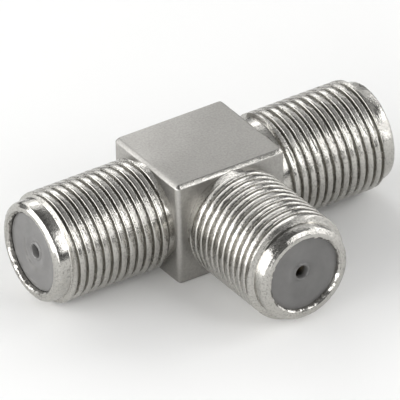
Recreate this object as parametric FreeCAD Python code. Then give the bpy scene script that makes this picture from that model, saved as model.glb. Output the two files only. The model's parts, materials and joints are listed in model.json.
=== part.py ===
import FreeCAD, Part
import math
import os

# Coaxial tee adapter: a die-cast block with three threaded female jacks.
# Two jacks are in line, along +X (right) and -X (left). The branch jack points along -Y.
# The origin is the centre of the block's bottom face, with +Z up. Lengths are in millimetres.

# Block
block_length = 10.5
block_width = 9.5
block_height = 9.35
axis_above_middle = 0.075
upright_edge_radius = 0.5
top_edge_bevel = 0.28
bottom_edge_radius = 0.3

# Jack ends, measured from the crossing of the three axes
through_reach = 16.55
branch_reach = 15.6

# Thread 3/8-32, drawn as its major cylinder with a bevel at each end
thread_radius = 4.7
thread_depth = 0.34
thread_bevel_angle = math.radians(30)
neck_length = 0.75
lead_in_length = 1.45
lead_in_drop = 0.5

# Rolled lip that holds the insulator in
lip_thickness = 0.5
lip_round = 0.35
lip_overhang = 0.2
lip_edge_bevel = 0.15
lip_round_facets = 2

# Bores of the casting
barrel_wall = 0.7
inner_bore_radius = 2.6

# Insulator
insulator_length = 8.0
insulator_rim_wall = 0.7
insulator_front_wall = 1.2
insulator_dish_depth = 0.12
insulator_dish_margin = 0.5
insulator_tube_length = 5.8
insulator_tube_wall = 0.6
centre_hole_radius = 0.55
funnel_depth = 0.28

# Spring contact
contact_length = 6.8
contact_wall = 0.3
contact_finger_bend = 3.2
contact_pinch_setback = 1.3
contact_pinch_radius = 0.25
contact_mouth_radius = 0.62
contact_slot_width = 0.3
contact_socket_depth = 1.8
contact_socket_land = 0.8

# Centre conductors
bar_radius = 0.75
bar_collar_radius = 1.3
bar_collar_length = 3.2
bar_flat_depth = 0.3
pin_spigot_radius = 0.5

# Gap between pieces that fit into one another
fit_clearance = 0.02

# Headings of the jacks, turned from +X about +Z
right_heading = 0
left_heading = 180
branch_heading = -90

# Sizes that follow from the ones above
axis_height = block_height / 2 + axis_above_middle
neck_radius = thread_radius - thread_depth
lead_in_radius = thread_radius - lead_in_drop
bore_radius = lead_in_radius - barrel_wall
lip_radius = bore_radius - lip_overhang
bore_depth = lip_thickness + insulator_length + fit_clearance
insulator_radius = bore_radius - fit_clearance
contact_socket_radius = bar_radius + fit_clearance
contact_radius = contact_socket_radius + contact_wall
insulator_tube_bore = contact_radius + fit_clearance
contact_setback = lip_thickness + insulator_front_wall + fit_clearance
bar_flat_offset = bar_collar_radius - bar_flat_depth

origin = FreeCAD.Vector(0, 0, 0)
x_axis = FreeCAD.Vector(1, 0, 0)
y_axis = FreeCAD.Vector(0, 1, 0)
z_axis = FreeCAD.Vector(0, 0, 1)


def turned(outline):
    """Solid turned about the X axis from a closed outline of (x, radius) points."""
    points = [FreeCAD.Vector(x, 0, radius) for x, radius in outline]
    profile = Part.makePolygon(points + points[:1])
    return Part.Face(profile).revolve(origin, x_axis, 360)


def quarter_round(start, corner, end):
    """Outline points from start to end along the quarter circle that rounds off their corner."""
    centre = (start[0] + end[0] - corner[0], start[1] + end[1] - corner[1])
    points = []
    for step in range(lip_round_facets + 1):
        turn = math.pi / 2 * step / lip_round_facets
        x = centre[0] + (start[0] - centre[0]) * math.cos(turn) + (end[0] - centre[0]) * math.sin(turn)
        r = centre[1] + (start[1] - centre[1]) * math.cos(turn) + (end[1] - centre[1]) * math.sin(turn)
        points.append((x, r))
    return points


def placed(shape, heading):
    """A jack's piece, drawn along +X from the crossing, set at its place in the adapter."""
    piece = shape.copy()
    piece.rotate(origin, z_axis, heading)
    piece.translate(z_axis * axis_height)
    return piece


def edges_at_height(shape, height):
    tolerance = 1e-6
    found = []
    for edge in shape.Edges:
        box = edge.BoundBox
        if abs(box.ZMin - height) < tolerance and abs(box.ZMax - height) < tolerance:
            found.append(edge)
    return found


def block():
    corner = FreeCAD.Vector(-block_length / 2, -block_width / 2, 0)
    shape = Part.makeBox(block_length, block_width, block_height, corner)
    uprights = [edge for edge in shape.Edges if edge.BoundBox.ZLength > block_height / 2]
    shape = shape.makeFillet(upright_edge_radius, uprights)
    shape = shape.makeChamfer(top_edge_bevel, edges_at_height(shape, block_height))
    return shape.makeFillet(bottom_edge_radius, edges_at_height(shape, 0))


def barrel(reach, block_half):
    """Outside of one barrel, from the crossing to the rolled lip, without its bore."""
    neck_end = block_half + neck_length
    thread_end = reach - lead_in_length
    bevel_slope = math.tan(thread_bevel_angle)
    face_edge = (reach, lead_in_radius - lip_round)
    side_edge = (reach - lip_round, lead_in_radius)
    outline = [(0, 0), (reach, 0)]
    outline += quarter_round(face_edge, (reach, lead_in_radius), side_edge)
    outline += [
        (thread_end + lead_in_drop * bevel_slope, lead_in_radius),
        (thread_end, thread_radius),
        (neck_end + thread_depth * bevel_slope, thread_radius),
        (neck_end, neck_radius),
        (0, neck_radius),
    ]
    return turned(outline)


def barrel_bore(reach):
    """Stepped bore: inner bore, shoulder, insulator seat and the hole inside the lip."""
    seat_end = reach - lip_thickness
    shoulder = reach - bore_depth
    outline = [
        (0, 0),
        (0, inner_bore_radius),
        (shoulder, inner_bore_radius),
        (shoulder, bore_radius),
        (seat_end, bore_radius),
        (seat_end, lip_radius),
        (reach - lip_edge_bevel, lip_radius),
        (reach, lip_radius + lip_edge_bevel),
        (reach + lip_thickness, lip_radius + lip_edge_bevel),
        (reach + lip_thickness, 0),
    ]
    return turned(outline)


jacks = {
    "left": (through_reach, block_length / 2, left_heading),
    "right": (through_reach, block_length / 2, right_heading),
    "branch": (branch_reach, block_width / 2, branch_heading),
}


def body():
    shape = block()
    for reach, block_half, heading in jacks.values():
        shape = shape.fuse(placed(barrel(reach, block_half), heading))
    for reach, block_half, heading in jacks.values():
        shape = shape.cut(placed(barrel_bore(reach), heading))
    return shape


def insulator(reach):
    """Moulded cup with a dished front wall, a funnelled centre hole and a tube for the contact."""
    face = reach - lip_thickness
    wall_back = face - insulator_front_wall
    tube_end = wall_back - insulator_tube_length
    rim_end = face - insulator_length
    dish_floor = face - insulator_dish_depth
    funnel_radius = centre_hole_radius + funnel_depth
    outline = [
        (face, insulator_radius),
        (rim_end, insulator_radius),
        (rim_end, insulator_radius - insulator_rim_wall),
        (wall_back, insulator_radius - insulator_rim_wall),
        (wall_back, insulator_tube_bore + insulator_tube_wall),
        (tube_end, insulator_tube_bore + insulator_tube_wall),
        (tube_end, insulator_tube_bore),
        (wall_back, insulator_tube_bore),
        (wall_back, centre_hole_radius),
        (dish_floor - funnel_depth, centre_hole_radius),
        (dish_floor, funnel_radius),
        (face, insulator_radius - insulator_dish_margin),
    ]
    return turned(outline)


def contact(reach):
    """Spring contact: a rear socket on the conductor, then four fingers that close on the
    cable's centre wire and flare at the mouth."""
    mouth = reach - contact_setback
    rear = mouth - contact_length
    bend = mouth - contact_finger_bend
    pinch = mouth - contact_pinch_setback
    outline = [
        (rear, contact_radius),
        (bend, contact_radius),
        (pinch, contact_pinch_radius + contact_wall),
        (mouth, contact_mouth_radius + contact_wall),
        (mouth, contact_mouth_radius),
        (pinch, contact_pinch_radius),
        (bend, contact_socket_radius),
        (rear, contact_socket_radius),
    ]
    tube = turned(outline)
    slot_start = rear + contact_socket_depth + contact_socket_land
    slot_corner = FreeCAD.Vector(slot_start, -contact_slot_width / 2, -2 * contact_radius)
    slot = Part.makeBox(contact_length, contact_slot_width, 4 * contact_radius, slot_corner)
    for turn in (0, 90):
        cutter = slot.copy()
        cutter.rotate(origin, x_axis, turn)
        tube = tube.cut(cutter)
    return tube


def conductor_end(reach):
    """How far a conductor runs from the crossing into the socket of its jack's contact."""
    return reach - contact_setback - contact_length + contact_socket_depth


def centre_bar():
    """Turned through conductor, with a collar, a flat and a cross hole for the branch pin."""
    half_length = conductor_end(through_reach)
    rod_start = x_axis * -half_length
    rod = Part.makeCylinder(bar_radius, 2 * half_length, rod_start, x_axis)
    collar_start = x_axis * (-bar_collar_length / 2)
    collar = Part.makeCylinder(bar_collar_radius, bar_collar_length, collar_start, x_axis)
    flat_corner = FreeCAD.Vector(-bar_collar_length, -2 * bar_collar_radius, -bar_collar_radius)
    flat_width = 2 * bar_collar_radius - bar_flat_offset
    flat = Part.makeBox(2 * bar_collar_length, flat_width, 2 * bar_collar_radius, flat_corner)
    hole_start = y_axis * (-2 * bar_collar_radius)
    hole_radius = pin_spigot_radius + fit_clearance
    hole = Part.makeCylinder(hole_radius, 4 * bar_collar_radius, hole_start, y_axis)
    shape = rod.fuse(collar.cut(flat)).removeSplitter().cut(hole)
    shape.translate(z_axis * axis_height)
    return shape


def branch_pin():
    """Turned pin: its shoulder sits on the bar's flat and its spigot fills the cross hole."""
    outline = [
        (-bar_collar_radius, 0),
        (-bar_collar_radius, pin_spigot_radius),
        (bar_flat_offset, pin_spigot_radius),
        (bar_flat_offset, bar_radius),
        (conductor_end(branch_reach), bar_radius),
        (conductor_end(branch_reach), 0),
    ]
    return placed(turned(outline), branch_heading)


def save(shape, node):
    shape.exportStep("parts/" + node + ".step")


os.makedirs("parts", exist_ok=True)
save(body(), "body")
for side, (reach, block_half, heading) in jacks.items():
    save(placed(insulator(reach), heading), side + "_insulator")
    save(placed(contact(reach), heading), side + "_contact")
save(centre_bar(), "centre_bar")
save(branch_pin(), "branch_pin")
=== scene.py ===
import json
import math

import bpy
from bpy.props import FloatProperty, FloatVectorProperty, IntProperty, PointerProperty
from mathutils import Matrix, Vector


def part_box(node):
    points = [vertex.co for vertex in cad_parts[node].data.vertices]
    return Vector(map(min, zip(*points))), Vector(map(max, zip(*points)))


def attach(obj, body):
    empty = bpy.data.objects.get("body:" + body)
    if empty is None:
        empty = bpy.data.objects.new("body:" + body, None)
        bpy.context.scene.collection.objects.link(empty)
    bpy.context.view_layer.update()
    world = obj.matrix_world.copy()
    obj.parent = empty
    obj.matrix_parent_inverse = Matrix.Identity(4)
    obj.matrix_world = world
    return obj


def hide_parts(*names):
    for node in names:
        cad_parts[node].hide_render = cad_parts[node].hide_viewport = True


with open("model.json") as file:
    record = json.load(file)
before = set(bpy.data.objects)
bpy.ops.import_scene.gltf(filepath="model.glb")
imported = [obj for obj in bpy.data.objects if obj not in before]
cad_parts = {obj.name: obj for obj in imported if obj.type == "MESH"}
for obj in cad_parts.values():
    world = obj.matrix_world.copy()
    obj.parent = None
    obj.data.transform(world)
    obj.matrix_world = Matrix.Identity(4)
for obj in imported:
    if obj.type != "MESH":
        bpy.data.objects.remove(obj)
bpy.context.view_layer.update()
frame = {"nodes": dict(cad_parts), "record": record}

bl_info = {
    "name": "Coaxial Splitter",
    "version": (1, 0, 0),
    "blender": (4, 5, 0),
    "location": "3D View > Sidebar > Splitter",
    "description": "Models a coaxial tee adapter with three threaded jacks, and its studio",
    "category": "Add Mesh",
}

# All lengths are in metres, in the frame of the solids: +X is the right jack, -X the left jack,
# -Y the branch jack, and the block's bottom face lies at z = 0.
MM = 0.001
mounts = {mount["name"]: mount for mount in frame["record"]["mounts"]}
body_low, body_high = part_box("body")
axis_height = mounts["right_thread"]["pos_m"][2]

# Which way each jack points, as a turn from +X about +Z
HEADINGS = {"right": 0.0, "left": math.pi, "branch": -math.pi / 2}

# The three jacks differ slightly in the casting: necks, how far round each thread starts in turns,
# plain ends, and the outer and inner edge of each rolled lip
NECKS = {"right": 0.85 * MM, "left": 0.60 * MM, "branch": 0.80 * MM}
THREAD_PHASES = {"right": 0.76, "left": 0.45, "branch": 0.10}
PLAIN_RADII = {"right": 4.24 * MM, "left": 4.30 * MM, "branch": 4.20 * MM}
LIP_EDGES = {"right": 3.93 * MM, "left": 4.03 * MM, "branch": 3.90 * MM}
LIP_RADII = {"right": 3.30 * MM, "left": 3.42 * MM, "branch": 3.25 * MM}

# Slant of the thread's end bevels from a plane across the jack
BEVEL_ANGLE = math.radians(20)

# Edges sharper than this stay sharp when a piece is shaded
SMOOTH_ANGLE = math.radians(38)

# Points closer than MERGE_DISTANCE become one, and heights closer than NEAR count as the same
MERGE_DISTANCE = 0.001 * MM
NEAR = 0.01 * MM

# Studio: distance of the lamps, brightness of the room, and the round floor
LAMP_DISTANCE = 0.5
ROOM_BRIGHTNESS = 0.15
FLOOR_RADIUS = 0.6
FLOOR_THICKNESS = 5 * MM

# Camera, fitted to the photograph: its angles in degrees, its distance from the axes' crossing,
# how far it stands aside from there, and the scale of the image at the splitter
CAMERA_AZIMUTH = -32.5
CAMERA_ELEVATION = 32.3
CAMERA_ROLL = -1.33
CAMERA_DISTANCE = 1.35
CAMERA_LEFT = 0.02 * MM
CAMERA_DOWN = 0.75 * MM
PIXELS_PER_MM = 12.262
IMAGE_WIDTH = 400
SENSOR_WIDTH = 36


def linear(hex_colour):
    """An sRGB hex colour as the linear colour that Blender works in."""
    values = [int(hex_colour[i:i + 2], 16) / 255 for i in (1, 3, 5)]
    return tuple(v / 12.92 if v <= 0.04045 else ((v + 0.055) / 1.055) ** 2.4 for v in values)


def length(name, default, description):
    return FloatProperty(name=name, default=default, description=description,
                         min=0.0, precision=5, unit="LENGTH", subtype="DISTANCE")


def colour(name, hex_colour, description):
    return FloatVectorProperty(name=name, default=linear(hex_colour), description=description,
                               size=3, min=0.0, max=1.0, subtype="COLOR")


class SplitterSizes(bpy.types.PropertyGroup):
    """Sizes of the casting and its insulators"""

    block_length: length("Block length", 10.5 * MM, "Block along the through jacks")
    block_width: length("Block width", 9.5 * MM, "Block along the branch jack")
    block_height: length("Block height", 9.35 * MM, "Block from its bottom face to its top face")
    corner_radius: length("Corner radius", 0.45 * MM, "Rounding of the block's upright edges")
    top_bevel: length("Top bevel", 0.28 * MM, "Bevel round the block's top face")
    edge_radius: length("Edge radius", 0.08 * MM, "Rounding of the edges beside the bevel")
    bottom_radius: length("Bottom radius", 0.3 * MM, "Rounding round the block's bottom face")
    through_reach: length("Through reach", body_high.x,
                          "End of the left and right jacks from the axes' crossing")
    branch_reach: length("Branch reach", -body_low.y,
                         "End of the branch jack from the axes' crossing")
    thread_radius: length("Thread radius", mounts["right_thread"]["dims"]["r_mm"] * MM,
                          "Major radius of the 3/8-32 thread")
    thread_depth: length("Thread depth", 0.34 * MM, "Depth of the thread's groove")
    thread_pitch: length("Thread pitch", 25.4 / 32 * MM, "Distance from one turn to the next")
    ridge_width: length("Ridge width", 0.64 * MM, "Width of the thread's ridge at the groove's floor")
    crest_width: length("Crest width", 0.47 * MM, "Width of the thread's ridge at its crest")
    crest_round: length("Crest rounding", 0.08 * MM, "Rounding of the ridge's two outer edges")
    lead_in: length("Lead-in", 1.45 * MM, "From the thread's last full turn to the lip's face")
    lip_thickness: length("Lip thickness", 0.5 * MM, "Rolled lip along the jack's axis")
    seat_radius: length("Seat radius", 3.5 * MM, "Bore that holds the insulator")
    bore_radius: length("Bore radius", 2.6 * MM, "Bore behind the insulator")
    seat_depth: length("Seat depth", 8.52 * MM,
                       "From the lip's face to the shoulder behind the insulator")
    lip_fray: length("Lip fray", 0.075 * MM, "How far the lip's inner edge is torn")
    wave_height: length("Wave height", 0.04 * MM, "Height of the plated surface's unevenness")
    wave_width: length("Wave width", 0.3 * MM, "Width of the plated surface's unevenness")
    hole_radius: length("Centre hole radius", mounts["right_hole"]["dims"]["r_mm"] * MM,
                        "Centre hole of an insulator")
    fit_clearance: length("Fit clearance", 0.02 * MM, "Gap round an insulator in its seat")
    cup_length: length("Cup length", 8 * MM, "Insulator cup along the jack's axis")
    cup_wall: length("Cup wall", 0.7 * MM, "Side wall of the insulator cup")
    front_wall: length("Front wall", 1.2 * MM, "Front wall of the insulator cup")
    dish_depth: length("Dish depth", 0.14 * MM, "From the insulator's rim down to its dished floor")
    tube_length: length("Tube length", 5.8 * MM, "Tube behind the front wall, round the contact")
    tube_radius: length("Tube radius", 1.69 * MM, "Outside of the insulator's tube")
    tube_bore: length("Tube bore", 1.09 * MM, "Inside of the insulator's tube")
    turn_steps: IntProperty(name="Steps per turn", default=144, min=24, max=360,
                            description="Facets round each jack and each turn of thread")
    cup_steps: IntProperty(name="Cup steps", default=96, min=24, max=360,
                           description="Facets round each insulator")


class SplitterColours(bpy.types.PropertyGroup):
    """Colours of the finishes and the floor"""

    nickel: colour("Bright nickel", "#BDBBB6", "Nickel plate on the turned and threaded barrels")
    satin_nickel: colour("Satin nickel", "#B0AEAA", "Nickel plate on the cast block")
    insulator: colour("Insulator", "#696867", "Moulded insulator")
    brass: colour("Tinned brass", "#B3A78E", "Contacts and conductors")
    floor: colour("Floor", "#F6F6F5", "Studio floor")


# Small helpers for modelling

def deselect():
    if bpy.context.mode != "OBJECT":
        bpy.ops.object.mode_set(mode="OBJECT")
    bpy.ops.object.select_all(action="DESELECT")


def activate(piece):
    deselect()
    piece.select_set(True)
    bpy.context.view_layer.objects.active = piece


def finish_mesh(piece, name):
    """Renames the active piece and puts its place into its mesh."""
    piece.name = name
    piece.data.name = name
    activate(piece)
    bpy.ops.object.transform_apply(location=True, rotation=True, scale=True)


def merge_points(piece):
    """Merges points less than a micrometre apart and turns all faces outwards."""
    activate(piece)
    bpy.ops.object.mode_set(mode="EDIT")
    bpy.ops.mesh.select_mode(type="VERT")
    bpy.ops.mesh.select_all(action="SELECT")
    bpy.ops.mesh.remove_doubles(threshold=MERGE_DISTANCE)
    bpy.ops.mesh.normals_make_consistent(inside=False)
    bpy.ops.object.mode_set(mode="OBJECT")


def turned(name, outline, steps, ring=False):
    """A piece turned about X: a circle drawn along an outline of (x, radius) points.
    A ring closes on itself, and any other outline ends in two caps."""
    x, radius = outline[0]
    deselect()
    bpy.ops.mesh.primitive_circle_add(vertices=steps, radius=radius, location=(x, 0, 0),
                                      rotation=(0, math.pi / 2, 0),
                                      fill_type="NOTHING" if ring else "NGON")
    piece = bpy.context.object
    finish_mesh(piece, name)
    bpy.ops.object.mode_set(mode="EDIT")
    bpy.ops.mesh.select_mode(type="EDGE" if ring else "FACE")
    bpy.ops.mesh.select_all(action="SELECT")
    for next_x, next_radius in outline[1:] + (outline[:1] if ring else []):
        bpy.ops.mesh.extrude_region_move(TRANSFORM_OT_translate={"value": (next_x - x, 0, 0)})
        scale = next_radius / radius
        bpy.ops.transform.resize(value=(1, scale, scale), center_override=(next_x, 0, 0))
        x, radius = next_x, next_radius
    bpy.ops.object.mode_set(mode="OBJECT")
    merge_points(piece)
    return piece


def select_in_mesh(piece, kind, wanted):
    """Enters edit mode with only the wanted vertices, edges or faces selected."""
    activate(piece)
    bpy.ops.object.mode_set(mode="EDIT")
    bpy.ops.mesh.select_mode(type=kind)
    bpy.ops.mesh.select_all(action="DESELECT")
    bpy.ops.object.mode_set(mode="OBJECT")
    parts = {"VERT": piece.data.vertices, "EDGE": piece.data.edges, "FACE": piece.data.polygons}[kind]
    for part in parts:
        if wanted(part):
            part.select = True
    bpy.ops.object.mode_set(mode="EDIT")


def apply_modifier(piece, kind, **settings):
    activate(piece)
    bpy.ops.object.modifier_add(type=kind)
    modifier = piece.modifiers[-1]
    for name, value in settings.items():
        setattr(modifier, name, value)
    bpy.ops.object.modifier_apply(modifier=modifier.name)


def combine(piece, other, operation):
    """Joins the other solid to the piece, cuts it away or keeps what both share."""
    size_before = piece.dimensions.copy()
    apply_modifier(piece, "BOOLEAN", operation=operation, object=other, solver="EXACT")
    bpy.data.objects.remove(other, do_unlink=True)
    merge_points(piece)
    lost = max(before - after for before, after in zip(size_before, piece.dimensions))
    if not piece.data.polygons or (operation != "INTERSECT" and lost > MM):
        raise RuntimeError("part of " + piece.name + " is lost")


def copied(piece, name):
    """A copy of a piece, with its own mesh."""
    activate(piece)
    bpy.ops.object.duplicate(linked=False)
    copy = bpy.context.object
    copy.name = name
    copy.data.name = name
    return copy


def smooth(piece):
    activate(piece)
    bpy.ops.object.shade_smooth_by_angle(angle=SMOOTH_ANGLE)


def place(piece, heading, along=0.0):
    """Sets a jack's piece, made on the X axis, at its place: along its jack, turned to the jack's
    heading and lifted to the jacks' height."""
    lift = Matrix.Translation((0, 0, axis_height))
    turn = Matrix.Rotation(heading, 4, "Z")
    piece.data.transform(lift @ turn @ Matrix.Translation((along, 0, 0)))


def jack_sizes(sizes, side):
    """Reach of a jack and its side of the block, from the axes' crossing."""
    if side == "branch":
        return sizes.branch_reach, sizes.block_width / 2
    return sizes.through_reach, sizes.block_length / 2


def thread_ends(sizes, side):
    """Start and end of a jack's thread, from the axes' crossing."""
    reach, block_half = jack_sizes(sizes, side)
    return block_half + NECKS[side], reach - sizes.lead_in


# Materials

# Settings that make a Mix node multiply a colour by a pattern's shades
MULTIPLY = {"data_type": "RGBA", "blend_type": "MULTIPLY", "Factor": 1.0}


def add(tree, kind, settings=None, **links):
    """Adds a node, sets its values and links its inputs, which are named in lower case.
    Where several inputs share a name, the one that the node's settings switch on is linked."""
    node = tree.nodes.new(kind)
    for name, value in (settings or {}).items():
        if name in node.inputs:
            node.inputs[name].default_value = value
        else:
            setattr(node, name, value)
    for name, source in links.items():
        sockets = [s for s in node.inputs if s.name.lower().replace(" ", "_") == name]
        socket = next(s for s in sockets if not s.is_unavailable)
        tree.links.new(source, socket)
    return node


def new_material(name):
    material = bpy.data.materials.new(name)
    material.use_nodes = True
    tree = material.node_tree
    tree.nodes.clear()
    return material, tree


def per_metre(size_mm):
    """Noise scale whose features are about as wide as a size in millimetres."""
    return 1 / (size_mm * MM)


def bright_nickel(colours):
    """Nickel plate over machined zinc: glossy with fine pits, so highlights break into speckles.
    Such pits are finer than a pixel of the image, so they are drawn 0.15 mm wide to show."""
    material, tree = new_material("bright_nickel_plate")
    position = add(tree, "ShaderNodeTexCoord").outputs["Object"]
    pits = add(tree, "ShaderNodeTexNoise",
               {"Scale": per_metre(0.15), "Detail": 3.0, "Roughness": 0.6}, vector=position)
    patches = add(tree, "ShaderNodeTexNoise",
                  {"Scale": per_metre(1.6), "Detail": 2.0, "Roughness": 0.5}, vector=position)
    gloss = add(tree, "ShaderNodeMapRange",
                {"From Min": 0.35, "From Max": 0.65, "To Min": 0.15, "To Max": 0.3},
                value=patches.outputs["Fac"])
    coarse = add(tree, "ShaderNodeMapRange",
                 {"From Min": 0.38, "From Max": 0.6, "To Min": 0.25, "To Max": 1.0},
                 value=patches.outputs["Fac"])
    bump = add(tree, "ShaderNodeBump", {"Distance": 0.026 * MM},
               height=pits.outputs["Fac"], strength=coarse.outputs["Result"])
    shade = add(tree, "ShaderNodeMapRange",
                {"From Min": 0.32, "From Max": 0.5, "To Min": 0.55, "To Max": 1.0},
                value=pits.outputs["Fac"])
    tint = add(tree, "ShaderNodeMix", {**MULTIPLY, "A": (*colours.nickel, 1)},
               b=shade.outputs["Result"])
    shader = add(tree, "ShaderNodeBsdfPrincipled", {"Metallic": 1.0},
                 base_color=tint.outputs["Result"], roughness=gloss.outputs["Result"],
                 normal=bump.outputs["Normal"])
    add(tree, "ShaderNodeOutputMaterial", surface=shader.outputs["BSDF"])
    return material


def satin_nickel(colours):
    """Nickel plate over the tumbled casting: an even grain that spreads reflections to a soft grey.
    Such grain is finer than a pixel of the image, so it is drawn 0.18 mm wide to show."""
    material, tree = new_material("satin_nickel_plate")
    position = add(tree, "ShaderNodeTexCoord").outputs["Object"]
    grain = add(tree, "ShaderNodeTexNoise",
                {"Scale": per_metre(0.18), "Detail": 2.0, "Roughness": 0.6}, vector=position)
    clouds = add(tree, "ShaderNodeTexNoise",
                 {"Scale": per_metre(3.0), "Detail": 3.0, "Roughness": 0.5}, vector=position)
    gloss = add(tree, "ShaderNodeMapRange",
                {"From Min": 0.3, "From Max": 0.7, "To Min": 0.42, "To Max": 0.52},
                value=clouds.outputs["Fac"])
    shade = add(tree, "ShaderNodeMapRange",
                {"From Min": 0.3, "From Max": 0.7, "To Min": 0.82, "To Max": 1.04},
                value=grain.outputs["Fac"])
    tint = add(tree, "ShaderNodeMix", {**MULTIPLY, "A": (*colours.satin_nickel, 1)},
               b=shade.outputs["Result"])
    bump = add(tree, "ShaderNodeBump", {"Strength": 0.9, "Distance": 0.016 * MM},
               height=grain.outputs["Fac"])
    shader = add(tree, "ShaderNodeBsdfPrincipled", {"Metallic": 1.0},
                 base_color=tint.outputs["Result"], roughness=gloss.outputs["Result"],
                 normal=bump.outputs["Normal"])
    add(tree, "ShaderNodeOutputMaterial", surface=shader.outputs["BSDF"])
    return material


def moulded_plastic(colours):
    """Injection-moulded polyethylene: dull, with faint flow marks and a soft sheen."""
    material, tree = new_material("moulded_grey_polyethylene")
    position = add(tree, "ShaderNodeTexCoord").outputs["Object"]
    flow = add(tree, "ShaderNodeTexNoise",
               {"Scale": per_metre(1.8), "Detail": 3.0, "Roughness": 0.5}, vector=position)
    shade = add(tree, "ShaderNodeMapRange",
                {"From Min": 0.3, "From Max": 0.7, "To Min": 0.86, "To Max": 1.08},
                value=flow.outputs["Fac"])
    tint = add(tree, "ShaderNodeMix", {**MULTIPLY, "A": (*colours.insulator, 1)},
               b=shade.outputs["Result"])
    bump = add(tree, "ShaderNodeBump", {"Strength": 0.6, "Distance": 0.05 * MM},
               height=flow.outputs["Fac"])
    shader = add(tree, "ShaderNodeBsdfPrincipled", {"Roughness": 0.26, "IOR": 1.5},
                 base_color=tint.outputs["Result"], normal=bump.outputs["Normal"])
    add(tree, "ShaderNodeOutputMaterial", surface=shader.outputs["BSDF"])
    return material


def tinned_brass(colours):
    """Tinned brass, turned and rolled: dull, with small dark spots."""
    material, tree = new_material("tinned_brass")
    position = add(tree, "ShaderNodeTexCoord").outputs["Object"]
    spots = add(tree, "ShaderNodeTexNoise", {"Scale": per_metre(0.4), "Detail": 3.0}, vector=position)
    shade = add(tree, "ShaderNodeMapRange",
                {"From Min": 0.3, "From Max": 0.7, "To Min": 0.75, "To Max": 1.0},
                value=spots.outputs["Fac"])
    tint = add(tree, "ShaderNodeMix", {**MULTIPLY, "A": (*colours.brass, 1)},
               b=shade.outputs["Result"])
    shader = add(tree, "ShaderNodeBsdfPrincipled", {"Metallic": 1.0, "Roughness": 0.4},
                 base_color=tint.outputs["Result"])
    add(tree, "ShaderNodeOutputMaterial", surface=shader.outputs["BSDF"])
    return material


# Casting

def barrel_outline(sizes, side):
    """Outside of a barrel without its ridge: neck, groove floor, plain end and rolled lip.
    It starts inside the block, and its last points curl inwards to the lip's face."""
    reach = jack_sizes(sizes, side)[0]
    groove = sizes.thread_radius - sizes.thread_depth
    plain = PLAIN_RADII[side]
    edge = LIP_EDGES[side]
    groove_end = thread_ends(sizes, side)[1] + sizes.thread_depth * math.tan(BEVEL_ANGLE)
    return [
        (2 * MM, groove),
        (groove_end, groove),
        (groove_end + 0.06 * MM, plain),
        (reach - 0.45 * MM, plain - 0.03 * MM),
        (reach - 0.28 * MM, plain - 0.09 * MM),
        (reach - 0.19 * MM, (plain + edge) / 2 - 0.04 * MM),
        (reach - 0.15 * MM, edge),
        (reach - 0.07 * MM, edge - 0.08 * MM),
        (reach - 0.02 * MM, edge - 0.18 * MM),
        (reach, edge - 0.30 * MM),
    ]


def bore_outline(sizes, side):
    """Bore of a barrel: inner bore, shoulder, insulator seat and the hole inside the lip. It starts
    past the axes' crossing and ends in front of the lip's face, so that it cuts cleanly."""
    reach = jack_sizes(sizes, side)[0]
    shoulder = reach - sizes.seat_depth
    lip_back = reach - sizes.lip_thickness
    lip = LIP_RADII[side]
    return [
        (-1 * MM, sizes.bore_radius),
        (shoulder, sizes.bore_radius),
        (shoulder, sizes.seat_radius),
        (lip_back, sizes.seat_radius),
        (lip_back, lip + 0.04 * MM),
        (reach - 0.34 * MM, lip),
        (reach - 0.20 * MM, lip + 0.01 * MM),
        (reach - 0.09 * MM, lip + 0.07 * MM),
        (reach - 0.03 * MM, lip + 0.17 * MM),
        (reach + 0.3 * MM, lip + 0.27 * MM),
    ]


def thread_envelope(sizes, side):
    """What the thread may fill: a cylinder round it that its two end bevels cut."""
    crest = sizes.thread_radius
    groove = crest - sizes.thread_depth
    thread_start, thread_end = thread_ends(sizes, side)
    slope = math.tan(BEVEL_ANGLE)
    inside = groove - 0.6 * MM
    above = crest + 0.1 * MM
    last = thread_end - 0.02 * MM
    return turned("envelope", [
        (thread_start - (groove - inside) * slope, inside),
        (thread_start + (above - groove) * slope, above),
        (last - (above - crest) * slope, above),
        (last + (crest - inside) * slope, inside),
    ], sizes.turn_steps)


def ridge_section(sizes, start):
    """Section of the thread's ridge at a place along the jack: it tapers to a crest with rounded
    edges, and its root reaches into the barrel."""
    crest = sizes.thread_radius
    groove = crest - sizes.thread_depth
    overlap = 0.2 * MM
    root = groove - overlap
    middle = (start, 0, (crest + root) / 2)
    taper = (sizes.ridge_width - sizes.crest_width) / sizes.thread_depth
    root_width = sizes.crest_width + taper * (crest - root)
    deselect()
    bpy.ops.mesh.primitive_plane_add(size=1, rotation=(math.pi / 2, 0, 0))
    section = bpy.context.object
    section.scale = (root_width, crest - root, 1)
    section.location = middle
    finish_mesh(section, "ridge")
    select_in_mesh(section, "VERT", lambda point: point.co.z > groove)
    bpy.ops.transform.resize(value=(sizes.crest_width / root_width, 1, 1), center_override=middle)
    bpy.ops.mesh.bevel(offset=sizes.crest_round, segments=3, profile=0.5, affect="VERTICES")
    bpy.ops.mesh.select_all(action="SELECT")
    bpy.ops.mesh.delete(type="ONLY_FACE")
    bpy.ops.object.mode_set(mode="OBJECT")
    return section


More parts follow.
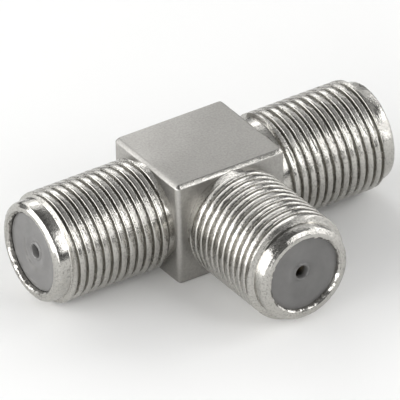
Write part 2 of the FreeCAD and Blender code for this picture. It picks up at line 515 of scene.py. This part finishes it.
def thread_ridge(sizes, side):
    """The thread's ridge: its section run along a right-hand helix. It is made too long at both
    ends, and the thread's end bevels cut it, so that the first and last turns run out."""
    pitch = sizes.thread_pitch
    thread_start, thread_end = thread_ends(sizes, side)
    spare_turns = 3
    turns = math.ceil((thread_end - thread_start) / pitch) + spare_turns
    ridge = ridge_section(sizes, thread_start + (THREAD_PHASES[side] - spare_turns / 2) * pitch)
    apply_modifier(ridge, "SCREW", axis="X", screw_offset=pitch, iterations=turns,
                   steps=sizes.turn_steps, render_steps=sizes.turn_steps)
    select_in_mesh(ridge, "VERT", lambda point: False)
    bpy.ops.mesh.select_non_manifold(extend=False)
    bpy.ops.mesh.fill_holes(sides=0)
    bpy.ops.mesh.select_all(action="SELECT")
    bpy.ops.mesh.normals_make_consistent(inside=False)
    bpy.ops.object.mode_set(mode="OBJECT")
    combine(ridge, thread_envelope(sizes, side), "INTERSECT")
    return ridge


def bevel_edges(block, wanted, width, segments):
    """Bevels the edges that are wanted by the heights of their two ends. Several segments round
    them off."""

    def wanted_edge(edge):
        return wanted(*[block.data.vertices[i].co.z for i in edge.vertices])

    select_in_mesh(block, "EDGE", wanted_edge)
    bpy.ops.mesh.bevel(offset=width, segments=segments, profile=0.5)
    bpy.ops.object.mode_set(mode="OBJECT")


def make_block(sizes):
    """The block: a box whose upright and bottom edges are rounded and whose top edge is bevelled,
    with a small rounding above and below that bevel."""
    deselect()
    bpy.ops.mesh.primitive_cube_add(size=1, location=(0, 0, sizes.block_height / 2))
    block = bpy.context.object
    block.scale = (sizes.block_length, sizes.block_width, sizes.block_height)
    finish_mesh(block, "nickel_casting")
    top = sizes.block_height
    bevel_foot = top - sizes.top_bevel

    def upright(a, b):
        return abs(a - b) > NEAR

    def at_top(a, b):
        return abs(a - top) < NEAR and abs(b - top) < NEAR

    def beside_bevel(a, b):
        return not upright(a, b) and min(a, b) > bevel_foot - NEAR

    def at_bottom(a, b):
        return abs(a) < NEAR and abs(b) < NEAR

    bevel_edges(block, upright, sizes.corner_radius, 5)
    bevel_edges(block, at_top, sizes.top_bevel, 1)
    bevel_edges(block, beside_bevel, sizes.edge_radius, 3)
    bevel_edges(block, at_bottom, sizes.bottom_radius, 4)
    return block


def fray_lips(casting, sizes):
    """Rolling the lip over the insulator leaves its inner edge slightly torn."""
    crossing = Vector((0, 0, axis_height))
    torn_depth = 0.4 * MM
    torn_width = 0.15 * MM

    def torn(point):
        x, y, z = point.co - crossing
        if abs(x) < sizes.block_length:
            side, along, across = "branch", -y, math.hypot(z, x)
        else:
            side, along, across = "left" if x < 0 else "right", abs(x), math.hypot(z, y)
        reach = jack_sizes(sizes, side)[0]
        return along > reach - torn_depth and across < LIP_RADII[side] + torn_width

    select_in_mesh(casting, "VERT", torn)
    bpy.ops.transform.vertex_random(offset=sizes.lip_fray, uniform=0.4, normal=0.0, seed=7)
    bpy.ops.object.mode_set(mode="OBJECT")


def roughen(casting, sizes):
    """The cast and plated surface is nowhere quite true: hundredths of a millimetre high and low."""
    waves = bpy.data.textures.new("casting_waves", "CLOUDS")
    waves.noise_scale = sizes.wave_width
    waves.noise_depth = 1
    apply_modifier(casting, "DISPLACE", texture=waves, texture_coords="LOCAL",
                   strength=sizes.wave_height, mid_level=0.5)


def plate(casting, sizes, colours):
    """Satin plate on the block, and bright plate on the barrels and on the block's front top bevel,
    which shines as they do."""
    casting.data.materials.append(satin_nickel(colours))
    casting.data.materials.append(bright_nickel(colours))
    margin = 0.03 * MM
    half_length = sizes.block_length / 2 + margin
    half_width = sizes.block_width / 2 + margin
    bevel_start = sizes.block_height - sizes.top_bevel
    for face in casting.data.polygons:
        on_block = abs(face.center.x) < half_length and abs(face.center.y) < half_width
        slants_forward = face.normal.y < -0.3 and face.normal.z > 0.2
        front_bevel = slants_forward and face.center.z > bevel_start
        face.material_index = 0 if on_block and not front_bevel else 1


class SPLITTER_OT_casting(bpy.types.Operator):
    """Models the casting: block, barrels, threads, bores and rolled lips"""

    bl_idname = "splitter.casting"
    bl_label = "Casting"

    def execute(self, context):
        sizes = context.scene.splitter_sizes
        casting = make_block(sizes)
        for side, heading in HEADINGS.items():
            barrel = turned("barrel", barrel_outline(sizes, side), sizes.turn_steps)
            combine(barrel, thread_ridge(sizes, side), "UNION")
            place(barrel, heading)
            combine(casting, barrel, "UNION")
        for side, heading in HEADINGS.items():
            bore = turned("bore", bore_outline(sizes, side), sizes.turn_steps)
            place(bore, heading)
            combine(casting, bore, "DIFFERENCE")
        fray_lips(casting, sizes)
        roughen(casting, sizes)
        plate(casting, sizes, context.scene.splitter_colours)
        smooth(casting)
        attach(casting, "root")
        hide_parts("body")
        return {"FINISHED"}


# Insulators

def front_outline(sizes):
    """Front of an insulator, from its centre hole outwards: a collar, a low mound, and a dish with
    a rim. The rim lies just behind x = 0, where the lip's back is."""
    hole = sizes.hole_radius
    dish = -sizes.dish_depth
    outer = sizes.seat_radius - sizes.fit_clearance
    collar = [
        (dish, hole),
        (dish + 0.08 * MM, hole + 0.04 * MM),
        (dish + 0.12 * MM, hole + 0.10 * MM),
        (dish + 0.11 * MM, hole + 0.18 * MM),
        (dish + 0.02 * MM, hole + 0.28 * MM),
    ]
    mound = [
        (dish + 0.02 * MM, hole + 0.42 * MM),
        (dish + 0.11 * MM, hole + 0.60 * MM),
        (dish + 0.13 * MM, hole + 0.80 * MM),
        (dish + 0.06 * MM, hole + 1.06 * MM),
        (dish, hole + 1.36 * MM),
    ]
    rim = [
        (dish, 2.3 * MM),
        (dish + 0.08 * MM, 2.8 * MM),
        (-0.01 * MM, 3.05 * MM),
        (-0.01 * MM, outer - 0.08 * MM),
        (-0.09 * MM, outer),
    ]
    return collar + mound + rim


def insulator_outline(sizes):
    """A moulded cup: a front wall whose centre hole is wider at its back, a side wall, and a tube
    that runs back from the front wall."""
    hole = sizes.hole_radius
    dish = -sizes.dish_depth
    wall_back = -sizes.front_wall
    widened_hole = [
        (wall_back, hole + 0.4 * MM),
        (dish - 0.45 * MM, hole + 0.4 * MM),
        (dish - 0.40 * MM, hole),
    ]
    outer = sizes.seat_radius - sizes.fit_clearance
    side_wall = [
        (-sizes.cup_length, outer),
        (-sizes.cup_length, outer - sizes.cup_wall),
        (wall_back, outer - sizes.cup_wall),
    ]
    tube_end = wall_back - sizes.tube_length
    tube = [
        (wall_back, sizes.tube_radius),
        (tube_end, sizes.tube_radius),
        (tube_end, sizes.tube_bore),
        (wall_back, sizes.tube_bore),
    ]
    return widened_hole + front_outline(sizes) + side_wall + tube


class SPLITTER_OT_insulators(bpy.types.Operator):
    """Models the three moulded insulators behind the lips"""

    bl_idname = "splitter.insulators"
    bl_label = "Insulators"

    def execute(self, context):
        sizes = context.scene.splitter_sizes
        cup = turned("insulator_cup", insulator_outline(sizes), sizes.cup_steps, ring=True)
        cup.data.materials.append(moulded_plastic(context.scene.splitter_colours))
        smooth(cup)
        for side, heading in HEADINGS.items():
            piece = copied(cup, side + "_insulator_cup")
            place(piece, heading, jack_sizes(sizes, side)[0] - sizes.lip_thickness)
            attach(piece, "root")
            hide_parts(side + "_insulator")
        bpy.data.objects.remove(cup, do_unlink=True)
        return {"FINISHED"}


class SPLITTER_OT_conductors(bpy.types.Operator):
    """Finishes the spring contacts, the centre bar and the branch pin in tinned brass"""

    bl_idname = "splitter.conductors"
    bl_label = "Conductors"

    def execute(self, context):
        brass = tinned_brass(context.scene.splitter_colours)
        for node in frame["nodes"].values():
            if not node.hide_render:
                node.data.materials.clear()
                node.data.materials.append(brass)
        return {"FINISHED"}


# Studio

def world_light(scene):
    """A dim grey room, so that the metal has something dark to reflect between the softboxes."""
    world = bpy.data.worlds.new("studio_world")
    scene.world = world
    world.use_nodes = True
    tree = world.node_tree
    tree.nodes.clear()
    background = add(tree, "ShaderNodeBackground",
                     {"Color": (1, 1, 1, 1), "Strength": ROOM_BRIGHTNESS})
    add(tree, "ShaderNodeOutputWorld", surface=background.outputs["Background"])


def softbox(name, azimuth, elevation, width, height, radiance):
    """A rectangular lamp that faces the splitter. Its place and size are angles in degrees as seen
    from the splitter, with azimuth turning from +X towards +Y."""
    crossing = Vector((0, 0, axis_height))
    turn, rise = math.radians(azimuth), math.radians(elevation)
    away = Vector((math.cos(rise) * math.cos(turn), math.cos(rise) * math.sin(turn), math.sin(rise)))
    bpy.ops.object.light_add(type="AREA", location=crossing + away * LAMP_DISTANCE)
    lamp = bpy.context.object
    lamp.name = name
    lamp.rotation_euler = away.to_track_quat("Z", "Y").to_euler()
    lamp.data.shape = "RECTANGLE"
    lamp.data.size = 2 * LAMP_DISTANCE * math.tan(math.radians(width / 2))
    lamp.data.size_y = 2 * LAMP_DISTANCE * math.tan(math.radians(height / 2))
    lamp.data.energy = radiance * math.pi * lamp.data.size * lamp.data.size_y
    lamp.visible_camera = False


def soft_lamps():
    """Softboxes all round, placed where the plating reflects them as in the photograph."""
    softbox("left_softbox", 173, 18, 82, 38, 4.4)
    softbox("front_left_softbox", 230, 12, 24, 26, 3.4)
    softbox("front_right_softbox", 293, 27, 24, 24, 3.1)
    softbox("front_high_softbox", 293, 46, 20, 12, 3.4)
    softbox("right_softbox", 341, 31, 24, 14, 5.6)
    softbox("back_right_softbox", 20, 31, 30, 14, 3.0)
    softbox("low_right_softbox", 350, 11, 36, 24, 1.4)
    softbox("low_front_softbox", 318, 10, 24, 18, 2.6)
    softbox("top_softbox", 350, 62, 60, 26, 0.28)
    softbox("back_softbox", 74, 30, 32, 14, 3.3)
    softbox("back_low_softbox", 76, 16, 40, 12, 1.1)
    softbox("back_high_softbox", 75, 47, 50, 14, 1.2)
    softbox("back_left_softbox", 118, 30, 40, 14, 2.0)


def pale_floor(colours):
    """A round floor in matt off-white paint, whose gloss varies faintly from place to place."""
    deselect()
    bpy.ops.mesh.primitive_circle_add(vertices=96, radius=FLOOR_RADIUS, fill_type="NGON")
    floor = bpy.context.object
    finish_mesh(floor, "floor")
    bpy.ops.object.mode_set(mode="EDIT")
    bpy.ops.mesh.extrude_region_move(TRANSFORM_OT_translate={"value": (0, 0, -FLOOR_THICKNESS)})
    bpy.ops.mesh.select_all(action="SELECT")
    bpy.ops.mesh.normals_make_consistent(inside=False)
    bpy.ops.object.mode_set(mode="OBJECT")
    material, tree = new_material("painted_floor")
    position = add(tree, "ShaderNodeTexCoord").outputs["Object"]
    paint = add(tree, "ShaderNodeTexNoise", {"Scale": per_metre(30.0)}, vector=position)
    dull = add(tree, "ShaderNodeMapRange", {"To Min": 0.85, "To Max": 0.95},
               value=paint.outputs["Fac"])
    shader = add(tree, "ShaderNodeBsdfPrincipled", {"Base Color": (*colours.floor, 1)},
                 roughness=dull.outputs["Result"])
    add(tree, "ShaderNodeOutputMaterial", surface=shader.outputs["BSDF"])
    floor.data.materials.append(material)


def photo_camera(scene):
    """A long lens at the photograph's angle, slightly rolled as the photograph is."""
    azimuth = math.radians(CAMERA_AZIMUTH)
    elevation = math.radians(CAMERA_ELEVATION)
    roll = math.radians(CAMERA_ROLL)
    level_right = Vector((math.cos(azimuth), math.sin(azimuth), 0))
    back = Vector((math.sin(azimuth) * math.cos(elevation),
                   -math.cos(azimuth) * math.cos(elevation), math.sin(elevation)))
    level_up = back.cross(level_right)
    right = math.cos(roll) * level_right + math.sin(roll) * level_up
    up = math.cos(roll) * level_up - math.sin(roll) * level_right
    crossing = Vector((0, 0, axis_height))
    bpy.ops.object.camera_add()
    camera = bpy.context.object
    camera.location = crossing + back * CAMERA_DISTANCE - right * CAMERA_LEFT - up * CAMERA_DOWN
    camera.rotation_euler = Matrix((right, up, back)).transposed().to_euler()
    camera.data.lens = PIXELS_PER_MM * CAMERA_DISTANCE / MM * SENSOR_WIDTH / IMAGE_WIDTH
    camera.data.clip_end = 10
    scene.camera = camera


class SPLITTER_OT_studio(bpy.types.Operator):
    """Sets the pale floor, the soft lamps and the camera at the photograph's angle"""

    bl_idname = "splitter.studio"
    bl_label = "Studio"

    def execute(self, context):
        pale_floor(context.scene.splitter_colours)
        world_light(context.scene)
        soft_lamps()
        photo_camera(context.scene)
        context.scene.view_settings.view_transform = "Standard"
        return {"FINISHED"}


class SPLITTER_PT_panel(bpy.types.Panel):
    """Lists the operators in their order, and the sizes and colours that they use"""

    bl_label = "Coaxial Splitter"
    bl_space_type = "VIEW_3D"
    bl_region_type = "UI"
    bl_category = "Splitter"

    def draw(self, context):
        for operator in OPERATORS:
            self.layout.operator(operator.bl_idname)
        for group in (context.scene.splitter_sizes, context.scene.splitter_colours):
            box = self.layout.box()
            for name in group.__annotations__:
                box.prop(group, name)


OPERATORS = (SPLITTER_OT_casting, SPLITTER_OT_insulators, SPLITTER_OT_conductors, SPLITTER_OT_studio)
CLASSES = (SplitterSizes, SplitterColours, *OPERATORS, SPLITTER_PT_panel)


def register():
    for new_class in CLASSES:
        bpy.utils.register_class(new_class)
    bpy.types.Scene.splitter_sizes = PointerProperty(type=SplitterSizes)
    bpy.types.Scene.splitter_colours = PointerProperty(type=SplitterColours)


def unregister():
    del bpy.types.Scene.splitter_colours
    del bpy.types.Scene.splitter_sizes
    for old_class in reversed(CLASSES):
        bpy.utils.unregister_class(old_class)


def main():
    register()
    bpy.ops.splitter.casting()
    bpy.ops.splitter.insulators()
    bpy.ops.splitter.conductors()
    bpy.ops.splitter.studio()


if __name__ == "__main__":
    main()
